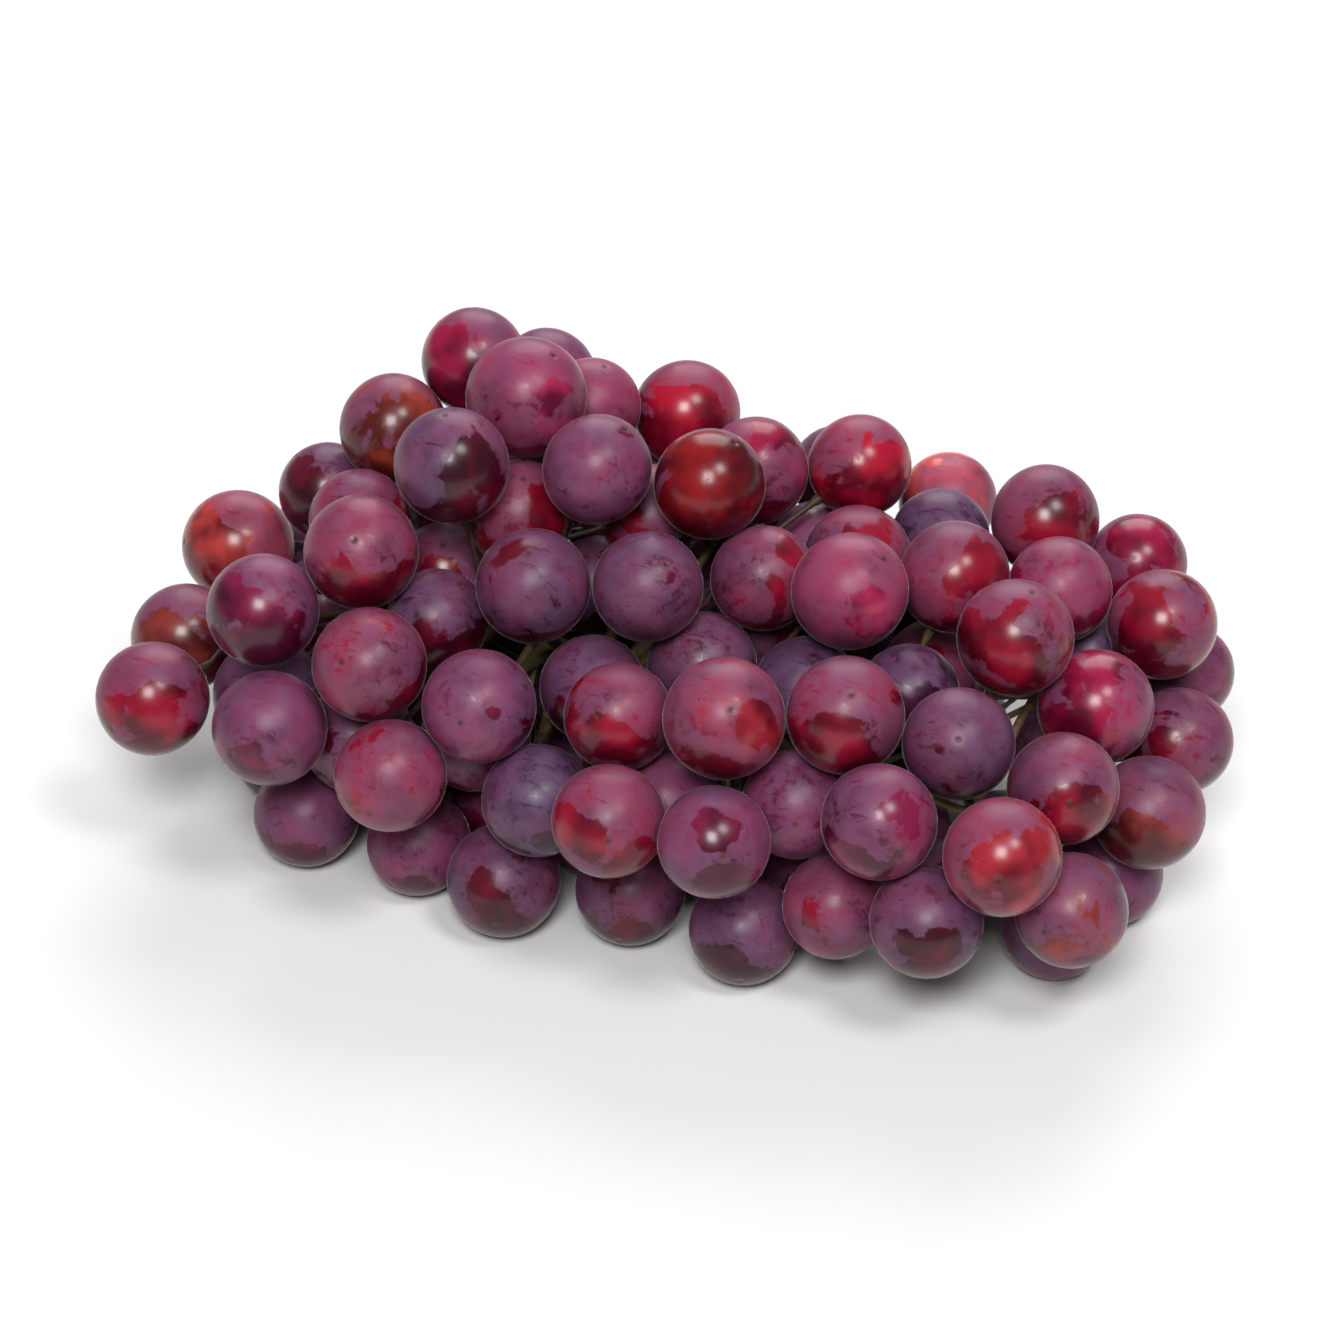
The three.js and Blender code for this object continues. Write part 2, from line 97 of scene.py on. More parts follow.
middle = (Vector(cad_box[0]) + Vector(cad_box[1])) / 2
camera = bpy.data.objects.new("camera", bpy.data.cameras.new("camera"))
camera.data.lens = LENS
camera.data.sensor_width = SENSOR_WIDTH
camera.data.clip_start = CLIP_START
place_facing(camera, middle + AIM_FROM_MIDDLE, direction_to(AZIMUTH, ELEVATION), DISTANCE)
bpy.context.scene.camera = camera
print("camera at", [round(c, 3) for c in camera.location])

# %% [markdown]
# ## Finding the berries in the frame
#
# The frame holds triangles, and some nodes hold several berries that press on each other. A ball's
# middle could be read as the mean of its corners, but that fails where two balls are joined. A
# triangle whose corners lie on a ball does better: the line through its circumcentre, square to it,
# always passes through the ball's middle. So each triangle votes for a middle one radius down that
# line, near votes are gathered, and a least squares fit gives each ball's exact middle and radius.

# %% Read the balls
TYPICAL_RADIUS = 9.8 * MM
VOTE_REACH = 3.0 * MM  # votes this near to each other belong to one ball
TRIM = 0.12 * MM  # corners further off the fitted ball than this belong to a joint
SLIVER = 0.1 * MM  # a triangle smaller than a square of this side has no sure normal
FEWEST_VOTES = 20
CLEARED = 1.6  # votes within this many reaches of a fitted ball are used up
TRIMS = 3


def corners_of(node):
    """The node's triangles as one array: triangle, corner, coordinate."""
    mesh = nodes[node].data
    mesh.calc_loop_triangles()
    places = np.empty(len(mesh.vertices) * 3)
    mesh.vertices.foreach_get("co", places)
    picks = np.empty(len(mesh.loop_triangles) * 3, dtype=np.int32)
    mesh.loop_triangles.foreach_get("vertices", picks)
    return places.reshape(-1, 3)[picks].reshape(-1, 3, 3)


def votes_for_middle(triangles):
    """Circumcentre minus the unit normal times the root of (radius squared - circumradius squared)."""
    a, b, c = triangles[:, 0], triangles[:, 1], triangles[:, 2]
    ab, ac = b - a, c - a
    normal = np.cross(ab, ac)
    twice = (normal**2).sum(1, keepdims=True)
    across = np.cross(normal, ab) * (ac**2).sum(1, keepdims=True)
    across += np.cross(ac, normal) * (ab**2).sum(1, keepdims=True)
    offset = across / (2 * twice)
    drop = np.sqrt(np.maximum(TYPICAL_RADIUS**2 - (offset**2).sum(1, keepdims=True), 0))
    return a + offset - normal / np.sqrt(twice) * drop


def fit_ball(points):
    """The ball nearest to the points: |p|^2 = 2 c.p + k is linear in its middle c and in k."""
    rows = np.hstack([2 * points, np.ones((len(points), 1))])
    found = np.linalg.lstsq(rows, (points**2).sum(1), rcond=None)[0]
    return found[:3], math.sqrt(found[3] + found[:3] @ found[:3])


def balls_of(node):
    """Gathers the votes of a node's triangles into balls; each fit is trimmed and made again."""
    triangles = corners_of(node)
    sides = triangles[:, 1] - triangles[:, 0], triangles[:, 2] - triangles[:, 0]
    triangles = triangles[(np.cross(*sides) ** 2).sum(1) > SLIVER**4]
    votes = votes_for_middle(triangles)
    left = np.ones(len(votes), bool)
    balls = []
    while left.any():
        distance = np.linalg.norm(votes[:, None] - votes[None, left], axis=2)
        support = (distance < VOTE_REACH).sum(1) * left
        if support.max() < FEWEST_VOTES:
            break
        mine = left & (np.linalg.norm(votes - votes[support.argmax()], axis=1) < VOTE_REACH)
        points = triangles[mine].reshape(-1, 3)
        centre, radius = fit_ball(points)
        for _ in range(TRIMS):
            off = np.abs(np.linalg.norm(points - centre, axis=1) - radius)
            good = points[off < max(TRIM, np.median(off))]
            centre, radius = fit_ball(good)
        left &= np.linalg.norm(votes - centre, axis=1) > CLEARED * VOTE_REACH
        balls.append((centre, radius))
    return balls


outer_names = sorted(name for name in nodes if name.startswith("berry_"))
inner_names = sorted(name for name in nodes if name.startswith("inner_berries_"))
owners = []
found = []
for name in outer_names + inner_names:
    for ball in balls_of(name):
        owners.append(name)
        found.append(ball)
CENTRES = np.array([centre for centre, _ in found])
RADII = np.array([radius for _, radius in found])
print("berries:", len(found), "radii", (RADII.min() / MM).round(2), "to", (RADII.max() / MM).round(2), "mm")

# %% [markdown]
# ## Which way each berry hangs
#
# A grape hangs from its pedicel, a short stalk that ends in a small collar on the skin. Opposite to
# it is the stylar scar, a tiny brown point where the flower's style fell off. The frame's stem ends
# in such a collar beside every berry, so the stem's corners nearest to a berry show its direction.

# %% Directions of the pedicels
COLLAR_REACH = 1.6 * MM
stem_corners = np.unique(corners_of("stem").reshape(-1, 3), axis=0)


def pedicel_direction(centre, radius):
    """From the berry's middle to the mean of the stem's corners around the nearest one."""
    away = np.linalg.norm(stem_corners - centre, axis=1)
    nearest = stem_corners[away.argmin()]
    near = np.linalg.norm(stem_corners - nearest, axis=1) < COLLAR_REACH
    near &= away < radius + COLLAR_REACH
    direction = stem_corners[near].mean(0) - centre
    return direction / np.linalg.norm(direction)


HANGS = np.array([pedicel_direction(c, r) for c, r in zip(CENTRES, RADII)])
gaps = [np.linalg.norm(stem_corners - c, axis=1).min() - r for c, r in zip(CENTRES, RADII)]
print("gap to the stem: at most", round(max(gaps) / MM, 2), "mm")

# %% [markdown]
# ## The shape of a berry
#
# A ripe grape is nearly a ball, but never quite. It is a few hundredths longer along its pedicel,
# it has low swellings, the skin rises in a small neck under the collar and sinks at the stylar scar,
# and where it presses on a neighbour or on the table it has a small flat. A subdivided ball with a
# noise texture would miss the flats. Here the skin is a distance from the middle in each direction,
# so every one of these is one more term, and a flat is a limit on that distance.

# %% Berry surface
SWELL = 0.22 * MM  # how far the ripe berry outgrows its coarse ball
TOUCH = 0.03 * MM  # what stays between two skins that press on each other
PRESS_EDGE = 0.16 * MM  # how softly a flat runs into the round skin
LONGEST = 0.035  # at most this share is added to the length along the pedicel
UNEVEN = 0.0035  # share of the radius that one swelling may add
SWELLINGS = (1.7, 2.6, 3.8, 5.5)  # radians of each swelling's wave over one radius
STEEPEST = 0.2  # the least cosine to a flat's direction that still limits the skin
NECK_HEIGHT = 0.30 * MM
NECK_WIDTH = 0.13  # angles from the pedicel, in radians
GROOVE_DEPTH = 0.16 * MM
GROOVE_AT = 0.30
SCAR_DEPTH = 0.17 * MM
SCAR_WIDTH = 0.055
POLE_CROWDING = 0.72  # how much closer the rings lie at the two poles
NEIGHBOUR_GAP = 1 * MM  # berries further apart than this never press on each other
SHAPE_SEED = 1000
ANY_SIDE = (0.31, 0.22, 0.93)  # a direction that no pedicel follows


def bump_at(angle, middle, width):
    """A bell of height one: e to the power of minus ((angle - middle) / width) squared."""
    return np.exp(-(((angle - middle) / width) ** 2))


def smooth_least(a, b, edge):
    """The lesser of two lengths, rounded over where they are within edge of each other."""
    blend = np.clip(0.5 + 0.5 * (b - a) / edge, 0, 1)
    return b + (a - b) * blend - edge * blend * (1 - blend)


def grid_of_directions(around, rings):
    """Angles from the pedicel, crowded at the poles, and round it; the poles are one point each."""
    step = np.linspace(0, 1, rings + 1)[1:-1]
    polar = math.pi * (step - POLE_CROWDING * np.sin(2 * math.pi * step) / (2 * math.pi))
    turn = np.arange(around) * (2 * math.pi / around)
    polar, turn = [grid.ravel() for grid in np.meshgrid(polar, turn, indexing="ij")]
    polar = np.concatenate([[0], polar, [math.pi]])
    turn = np.concatenate([[0], turn, [0]])
    return polar, turn


def faces_of_grid(around, rings):
    """Quads between neighbouring rings, and a fan of triangles at each pole, all facing out."""
    here = np.arange(around)
    there = (here + 1) % around
    first = 1 + here
    last = 1 + (rings - 2) * around
    starts = 1 + np.arange(rings - 2)[:, None] * around
    quads = [starts + here, starts + around + here, starts + around + there, starts + there]
    quads = np.stack([np.broadcast_to(q, (rings - 2, around)) for q in quads], axis=2)
    top = np.stack([np.zeros_like(here), first, 1 + there], axis=1)
    tip = 1 + (rings - 1) * around
    bottom = np.stack([np.full_like(here, tip), last + there, last + here], axis=1)
    return quads.reshape(-1, 4).tolist() + top.tolist() + bottom.tolist()


def pressing_planes(index):
    """Unit directions and distances of the planes midway to each neighbour, and of the table."""
    toward = CENTRES - CENTRES[index]
    apart = np.linalg.norm(toward, axis=1)
    near = (apart > 0) & (apart < RADII[index] + RADII + 2 * SWELL + NEIGHBOUR_GAP)
    apart = apart[near]
    share = (apart**2 + RADII[index] ** 2 - RADII[near] ** 2) / (2 * apart)
    down = np.array([[0, 0, -1.0]])
    directions = np.vstack([toward[near] / apart[:, None], down])
    return directions, np.append(share - TOUCH, CENTRES[index, 2] - TOUCH)


def berry_surface(index, around, rings):
    """The skin: middle + direction times distance, where the distance is the ball's radius with
    its stretch, swellings, neck, groove and scar, and never more than the pressing planes allow."""
    rng = np.random.default_rng(SHAPE_SEED + index)
    polar, turn = grid_of_directions(around, rings)
    pedicel = HANGS[index]
    side = np.cross(pedicel, ANY_SIDE)
    side /= np.linalg.norm(side)
    third = np.cross(pedicel, side)
    way = np.cos(polar)[:, None] * pedicel
    way = way + np.sin(polar)[:, None] * (np.cos(turn)[:, None] * side + np.sin(turn)[:, None] * third)

    stretch = 1 + rng.uniform(0, LONGEST) * (np.cos(polar) ** 2 - 1 / 3)
    for frequency in SWELLINGS:
        aim_at = rng.normal(size=3)
        aim_at *= frequency / np.linalg.norm(aim_at)
        stretch += UNEVEN * rng.uniform(0.3, 1) * np.sin(way @ aim_at + rng.uniform(0, 2 * math.pi))
    distance = RADII[index] * stretch + SWELL
    distance += NECK_HEIGHT * bump_at(polar, 0, NECK_WIDTH)
    distance -= GROOVE_DEPTH * bump_at(polar, GROOVE_AT, NECK_WIDTH)
    distance -= SCAR_DEPTH * bump_at(polar, math.pi, SCAR_WIDTH)

    for direction, reach in zip(*pressing_planes(index)):
        facing = np.maximum(way @ direction, STEEPEST)
        distance = smooth_least(distance, reach / facing, PRESS_EDGE)
    return CENTRES[index] + way * distance[:, None], way, polar


# %% [markdown]
# ## Colours of the berries
#
# No two grapes of a bunch ripen alike. Those that had sun are dark, those inside stay bluish under
# thick bloom, and some at the edge are still orange or salmon, where the flesh shines through. Each
# outer berry gets one of thirteen skin colours, and the share of its skin that still has its bloom.
# Fingers and neighbours rub bloom off, so each berry also gets three rubbed patches.

# %% Skin colours and bloom
SKINS = {
    "crimson": (0.27, 0.003, 0.021),
    "magenta": (0.32, 0.006, 0.050),
    "scarlet": (0.42, 0.005, 0.028),
    "ruby": (0.24, 0.004, 0.006),
    "orange": (0.50, 0.050, 0.045),
    "coral": (0.34, 0.016, 0.028),
    "rust": (0.32, 0.045, 0.024),
    "brown": (0.24, 0.032, 0.026),
    "pink": (0.38, 0.018, 0.080),
    "salmon": (0.68, 0.090, 0.095),
    "purple": (0.20, 0.008, 0.050),
    "dark": (0.12, 0.003, 0.016),
    "blue": (0.06, 0.005, 0.030),
}
LOOKS = [
    ("crimson", 0.45), ("brown", 0.25), ("orange", 0.30), ("purple", 0.55), ("purple", 0.65),
    ("dark", 0.50), ("crimson", 0.60), ("crimson", 0.65), ("crimson", 0.50), ("purple", 0.85),
    ("dark", 0.55), ("crimson", 0.60), ("dark", 0.50), ("rust", 0.30), ("magenta", 0.30),
    ("pink", 0.75), ("pink", 0.60), ("purple", 0.80), ("blue", 0.90), ("crimson", 0.60),
    ("crimson", 0.55), ("dark", 0.90), ("coral", 0.60), ("purple", 0.75), ("crimson", 0.70),
    ("pink", 0.75), ("crimson", 0.40), ("ruby", 0.15), ("scarlet", 0.15), ("magenta", 0.40),
    ("scarlet", 0.20), ("crimson", 0.50), ("crimson", 0.55), ("salmon", 0.20), ("crimson", 0.45),
    ("magenta", 0.55), ("crimson", 0.40), ("purple", 0.55), ("dark", 0.55), ("crimson", 0.40),
    ("coral", 0.50), ("brown", 0.60), ("magenta", 0.30), ("crimson", 0.40), ("magenta", 0.50),
    ("crimson", 0.45), ("brown", 0.55),
]
INNER_SKINS = ("purple", "dark", "crimson", "purple", "blue", "dark")
INNER_BLOOMS = (0.6, 0.9)
RUBBED_OFF = 1.3  # more than all of it, so that a rubbed patch is clean nearly to its edge
RUB_WIDTHS = (0.55, 1.05)  # radians, for a berry that has lost all its bloom
RUB_SCATTER = 0.45
HANDLED = (0.15, -0.60, 0.60)  # the side of the bunch that was touched
UNDERSIDE = (0.0, -0.40, -0.80)  # where a berry rubbed on those under it
ANYWHERE = (0.0, 0.0, 0.0)
RUB_SEED = 3000
LOOK_SEED = 5000


def rubbed(index, way, bloom):
    """How much bloom is rubbed off in each direction: the highest of three round bells. One is on
    the side that was handled, one below, one anywhere; they are narrower the more bloom is left."""
    rng = np.random.default_rng(RUB_SEED + index)
    most = np.zeros(len(way))
    for usual in (HANDLED, UNDERSIDE, ANYWHERE):
        toward = rng.normal(size=3) * RUB_SCATTER + usual
        angle = np.arccos(np.clip(way @ (toward / np.linalg.norm(toward)), -1, 1))
        width = rng.uniform(*RUB_WIDTHS) * (1.15 - bloom) ** 0.6
        most = np.maximum(most, bump_at(angle, 0, width))
    return most


def look_of(index):
    """The skin colour and the bloom share of a berry: chosen for an outer one, random for the rest."""
    if index < len(LOOKS):
        skin, bloom = LOOKS[index]
        return SKINS[skin], bloom
    rng = np.random.default_rng(LOOK_SEED + index)
    skin = INNER_SKINS[rng.integers(len(INNER_SKINS))]
    return SKINS[skin], rng.uniform(*INNER_BLOOMS)


# %% [markdown]
# ## Making the berries
#
# A berry that shows is a piece of its own. The hidden ones keep the groups of the frame, on a coarser
# grid. Each vertex carries what the skin's material can't know: the berry's colour, how much bloom
# is left there, and how near it is to the scar or to the pedicel.

# %% Build the berries
OUTER_GRID = (64, 40)  # vertices around, and rings from pole to pole
INNER_GRID = (44, 28)
COLLAR_STAIN = 0.7  # how brown the skin is under the collar, where the scar counts as one


def new_object(name, points, faces):
    """A smooth mesh object at the origin."""
    mesh = bpy.data.meshes.new(name)
    mesh.from_pydata(points.tolist(), [], faces)
    mesh.polygons.foreach_set("use_smooth", np.ones(len(mesh.polygons), bool))
    mesh.update()
    piece = bpy.data.objects.new(name, mesh)
    bpy.context.collection.objects.link(piece)
    return piece


def paint(piece, name, kind, values):
    """Stores one value or colour for each vertex as an attribute that a material can read."""
    field = piece.data.attributes.new(name, kind, "POINT")
    field.data.foreach_set("color" if kind == "FLOAT_COLOR" else "value", np.ravel(values))


def build_berries(name, indices, around, rings):
    """One piece from the skins of its berries, with their colour, bloom and scar as attributes."""
    grid_faces = faces_of_grid(around, rings)
    points, faces, tints, blooms, scars = [], [], [], [], []
    for index in indices:
        skin, way, polar = berry_surface(index, around, rings)
        start = sum(len(p) for p in points)
        faces += [[corner + start for corner in face] for face in grid_faces]
        colour, bloom = look_of(index)
        points.append(skin)
        tints.append(np.tile([*colour, 1], (len(skin), 1)))
        blooms.append(bloom - RUBBED_OFF * rubbed(index, way, bloom))
        scar = bump_at(polar, math.pi, SCAR_WIDTH)
        scars.append(scar + COLLAR_STAIN * bump_at(polar, 0, NECK_WIDTH))
    piece = new_object(name, np.vstack(points), faces)
    paint(piece, "tint", "FLOAT_COLOR", np.vstack(tints))
    paint(piece, "bloom", "FLOAT", np.concatenate(blooms))
    paint(piece, "scar", "FLOAT", np.concatenate(scars))
    return piece


outer_pieces = []
inner_pieces = []
for name in outer_names + inner_names:
    is_outer = name in outer_names
    piece = build_berries(
        name.replace("berry_", "grape_").replace("berries_", "grapes_"),
        np.flatnonzero(np.array(owners) == name),
        *(OUTER_GRID if is_outer else INNER_GRID),
    )
    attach(piece, "root")
    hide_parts(name)
    (outer_pieces if is_outer else inner_pieces).append(piece)
print("outer berries:", len(outer_pieces), "inner groups:", len(inner_pieces))

# %% [markdown]
# ## The stem
#
# The stem of a bunch is one woody branching twig. The frame's stem has flat facets, so a copy of it
# is merged, turned into small voxels, smoothed, which rounds every fork as growth does, and thinned.
# The twig then gets low wrinkles along its skin, moved out along its normals. Two attributes tell its
# material where berries crowd round it, which its colour darkens as painted shade, and where it was cut.

# %% Build the stem
WELD = 0.002 * MM
VOXEL = 0.38 * MM
SMOOTHING = 0.5
SMOOTHING_ROUNDS = 6
KEPT_SHARE = 0.55  # of the small voxels' triangles, which are more than the smoothed twig needs
WRINKLE = 0.09 * MM
WAVES = (500, 700, 900, 1200, 1500, 1900, 2400, 3000)  # radians per metre
WAVE_BEND = 1.5
WRINKLE_SEED = 7
CROWD_REACH = 8 * MM  # berries this near to a spot of the stem shade it
CROWD = 3  # that many berries shade it fully
STALK_PIECE = 20 * MM  # the length over which the stalk's direction is taken
CUT_REACH = 6 * MM
CUT_FACING = 0.6  # cosine between the stalk and a normal at the rim of its cut


def remeshed_stem():
    """A merged copy of the stem's node, voxel remeshed and smoothed, with the modifiers applied."""
    source = bpy.data.objects.new("stem_source", nodes["stem"].data.copy())
    bpy.context.collection.objects.link(source)
    weld = source.modifiers.new("merge", "WELD")
    weld.merge_threshold = WELD
    voxels = source.modifiers.new("voxels", "REMESH")
    voxels.mode = "VOXEL"
    voxels.voxel_size = VOXEL
    smooth = source.modifiers.new("smooth", "SMOOTH")
    smooth.factor = SMOOTHING
    smooth.iterations = SMOOTHING_ROUNDS
    thin = source.modifiers.new("thin", "DECIMATE")
    thin.ratio = KEPT_SHARE
    graph = bpy.context.evaluated_depsgraph_get()
    made = bpy.data.meshes.new_from_object(source.evaluated_get(graph))
    bpy.data.objects.remove(source)
    return made


def vectors_of(mesh, field):
    """One vector for each vertex of a mesh: its place, as "co", or its "normal"."""
    values = np.empty(len(mesh.vertices) * 3)
    mesh.vertices.foreach_get(field, values)
    return values.reshape(-1, 3)


def wrinkles(points):
    """A sum of bent sines, sin(d.p + b sin(d'.p)), of the place p in random directions d, each as
    high as its wave is long, scaled to stay between -1 and 1. It repeats nowhere on a twig."""
    rng = np.random.default_rng(WRINKLE_SEED)
    height = np.zeros(len(points))
    for frequency in WAVES:
        toward = rng.normal(size=3)
        toward *= frequency / np.linalg.norm(toward)
        bend = WAVE_BEND * np.sin(points @ toward[::-1])
        height += np.sin(points @ toward + bend) * WAVES[0] / frequency
    return height / np.abs(height).max()


def cut_share(points, normals, end):
    """1 on the stalk's cut and 0 elsewhere: a normal's cosine to the stalk, from CUT_FACING up, near
    the stalk's end, where the stalk points from the middle of its last piece to that end."""
    away = np.linalg.norm(points - end, axis=1)
    stalk_way = end - points[away < STALK_PIECE].mean(0)
    stalk_way /= np.linalg.norm(stalk_way)
    facing = (normals @ stalk_way - CUT_FACING) / (1 - CUT_FACING)
    return np.clip(facing * 2, 0, 1) * (away < CUT_REACH)


stem_mesh = remeshed_stem()
stem_points = vectors_of(stem_mesh, "co")
stem_normals = vectors_of(stem_mesh, "normal")
stem_points = stem_points + stem_normals * WRINKLE * wrinkles(stem_points)[:, None]
stem_mesh.vertices.foreach_set("co", stem_points.ravel())
stem_mesh.polygons.foreach_set("use_smooth", np.ones(len(stem_mesh.polygons), bool))
stem_mesh.update()
stem = bpy.data.objects.new("twig", stem_mesh)
bpy.context.collection.objects.link(stem)

off_berries = [np.linalg.norm(stem_points - c, axis=1) - r for c, r in zip(CENTRES, RADII)]
berries_near = (np.array(off_berries) < CROWD_REACH).sum(0)
stalk_end = stem_points[np.min(off_berries, axis=0).argmax()]
# Painted shade for the wood's colour: how many berries crowd round each spot of the stem.
paint(stem, "shade", "FLOAT", np.clip(berries_near / CROWD, 0, 1))
paint(stem, "cut", "FLOAT", cut_share(stem_points, stem_normals, stalk_end))
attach(stem, "root")
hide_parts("stem")
print("stem faces:", len(stem_mesh.polygons), "cut at", (stalk_end / MM).round(1), "mm")

# %% [markdown]
# ## Writing shader maths as formulas
#
# A material that varies over a surface is arithmetic on numbers that vary over it. Wiring each Math
# node by hand hides the formula. A small class that stands for one output socket, with the usual
# operators, lets the formula be read, and one method makes every other kind of node.

# %% Shader helpers
class Signal:
    """One output of a shader node. Arithmetic on it adds a Math node to the same material."""

    def __init__(self, finish, socket):
        self.finish = finish
        self.socket = socket

    def maths(self, operation, *inputs):
        return self.finish.node("ShaderNodeMath", {"operation": operation}, dict(enumerate(inputs)))

    def __add__(self, other):
        return self.maths("ADD", self, other)

    def __sub__(self, other):
        return self.maths("SUBTRACT", self, other)

    def __rsub__(self, other):
        return self.maths("SUBTRACT", other, self)

    def __mul__(self, other):
        return self.maths("MULTIPLY", self, other)

    __radd__ = __add__
    __rmul__ = __mul__

    def at_most(self, limit):
        return self.maths("MINIMUM", self, limit)

    def at_least(self, limit):
        return self.maths("MAXIMUM", self, limit)

    def step(self, low, high):
        """0 below low, 1 above high, and a smooth rise between them."""
        return self.finish.node(
            "ShaderNodeMapRange",
            {"interpolation_type": "SMOOTHSTEP"},
            {"Value": self, "From Min": low, "From Max": high},
        )


def set_stops(ramp, stops):
    """Puts (position, colour) stops on a colour ramp, which comes with two of its own."""
    for number, (position, colour) in enumerate(stops):
        stop = ramp.elements[number] if number < 2 else ramp.elements.new(position)
        stop.position = position
        stop.color = colour


class Finish:
    """A material under construction, around one Principled shader."""

    def __init__(self, name, **constants):
        self.material = bpy.data.materials.new(name)
        self.material.use_nodes = True
        self.tree = self.material.node_tree
        self.shader = self.tree.nodes["Principled BSDF"]
        self.set(**constants)

    def node(self, kind, settings=None, inputs=None, output=0):
        """Adds a node: its settings first, a ramp's stops among them, then a value or a link for
        each socket named."""
        made = self.tree.nodes.new(kind)
        for setting, value in (settings or {}).items():
            if setting == "stops":
                set_stops(made.color_ramp, value)
            else:
                setattr(made, setting, value)
        for socket, value in (inputs or {}).items():
            self.feed(made.inputs[socket], value)
        return Signal(self, made.outputs[output])

    def feed(self, socket, value):
        """Links a signal to a socket, or writes a plain value into it."""
        if isinstance(value, Signal):
            self.tree.links.new(value.socket, socket)
        else:
            socket.default_value = value

    def set(self, **inputs):
        """Links or sets the Principled shader's own sockets, with _ for a blank in their names."""
        for socket, value in inputs.items():
            self.feed(self.shader.inputs[socket.replace("_", " ")], value)

    def place(self, stretch=(1, 1, 1), turn=(0, 0, 0)):
        """Object coordinates, turned and stretched."""
        raw = self.node("ShaderNodeTexCoord", output="Object")
        return self.node("ShaderNodeMapping", None, {"Vector": raw, "Scale": stretch, "Rotation": turn})

    def noise(self, where, scale, detail=3.0, rough=0.5, warp=0.0):
        """Fractal noise between 0 and 1, mostly near a half, of scale waves per metre."""
        inputs = {"Vector": where, "Scale": scale, "Detail": detail, "Roughness": rough}
        inputs["Distortion"] = warp
        return self.node("ShaderNodeTexNoise", None, inputs)

    def spots(self, where, scale):
        """Distance to the nearest of scattered points, in cells."""
        inputs = {"Vector": where, "Scale": scale}
        return self.node("ShaderNodeTexVoronoi", {"feature": "F1"}, inputs, "Distance")

    def blend(self, share, low, high):
        """A colour between two colours. A Mix node holds the sockets of every type at once: 6 and 7
        take the two colours, and output 2 gives the mixed one."""
        inputs = {"Factor": share, 6: low, 7: high}
        return self.node("ShaderNodeMix", {"data_type": "RGBA"}, inputs, 2)

    def attribute(self, name, output="Fac"):
        """A value, or with output "Color" a colour, that was painted on the vertices."""
        return self.node("ShaderNodeAttribute", {"attribute_name": name}, None, output)

    def bump(self, height, depth, strength):
        """A normal bent by a relief that is depth metres high where height is 1."""
        inputs = {"Height": height, "Distance": depth, "Strength": strength}
        return self.node("ShaderNodeBump", None, inputs)


# %% [markdown]
# ## The skin of a grape
#
# Three layers make the look. The flesh lets light through, so a thin edge glows red: that is the
# subsurface part, the same all over. The skin over it is glossy and nearly black where it is thick
# with colour. On top lies the bloom, a pale grey-lavender wax that is dull and hides the gloss. It
# is rubbed off where berries touched or fingers held them, in patches with ragged edges, and in
# fine scratches. One mask, the film of wax with painted shade in it, drives the colour, the
# roughness and a very low relief. The shade is painted in two ways: the skin is darker on the lower
# side of each berry, and the film is thicker and hides more on its upper side, so the tops are paler.

# %% Skin material
BLOOM_COOL = (0.142, 0.072, 0.158, 1)  # over dark and blue skins
BLOOM_WARM = (0.272, 0.064, 0.132, 1)  # over red skins
SCAR_BROWN = (0.060, 0.022, 0.014, 1)
SPECK_BROWN = (0.035, 0.006, 0.010, 1)
GLOW_OUTER = 0.30
GLOW_INNER = 0.22
MIDDLE = 0.5  # what noise gives on the average
DEEPER = {"Hue": 0.497, "Saturation": 1.05, "Value": 0.25, "Fac": 1.0}  # the skin where it is darkest
# Ripeness and painted shade: noise, and facing down, blend the skin toward DEEPER, so each berry's lower
# side is darker.
RIPENESS_AND_SHADE_EDGE = (0.40, 0.74)
DARKER_BELOW_SHADE = 0.16
WARM_PER_RED = 2.1

# The bloom's level is a sum of these shares, and the film of wax starts where it passes the edge. The share
# for facing up is painted shade: more bloom on top, so the tops are paler and the lower sides darker.
PATCH_SHARE = 1.5
RAGGED_SHARE = 0.34
GRAIN_SHARE = 0.10
UPWARD_SHADE_SHARE = 0.36
PAINTED_SHARE = 0.42
LEVEL_DROP = 0.11
BLOOM_EDGE = (-0.030, 0.045)

# How thick the film is, and how well it hides the skin. It hides more where the skin faces up: painted
# shade.
THIN_FILM = 0.66
FILM_SPREAD = 0.42
FILM_EDGE = (0.36, 0.68)
HAZE = 0.03  # what stays on a rubbed patch
HIDES = 0.60
UPWARD_SHADE_HIDING = 0.24

# What is taken out of it, each with the noise where it starts and is complete, and its strength.
SCRATCH_STRETCH = (1, 5.5, 2.2)
SCRATCH_TURN = (0.5, 0.8, 0.3)
SCRATCH_EDGE = (0.60, 0.66)
SCRATCHED = 0.65
SCUFF_EDGE = (0.50, 0.60)
SCUFFED = 0.7
SPECK_EDGE = (0.05, 0.12)
SPECKLED_EDGE = (0.58, 0.62)
SPECKED = 0.75

# Gloss and relief.
SKIN_ROUGHNESS = 0.25
FILM_ROUGHNESS = 0.20
UNEVEN_ROUGHNESS = 0.04
SKIN_COAT = 0.22
FILM_DULLS = 0.40
RELIEF = 0.06 * MM
RELIEF_STRENGTH = 0.55

# Noise scales, in waves per metre, from the largest patches to the pores.
TINGE = 60
PATCHES = 95
SCUFFED_AREAS = 105
DEPTHS = 120
SPECKLED_AREAS = 130
SCRATCHES = 170
FILM = 260
SPECKS = 390
RAGGED = 420
SCUFFS = 560
GRAIN = 1300
PORES = 2600


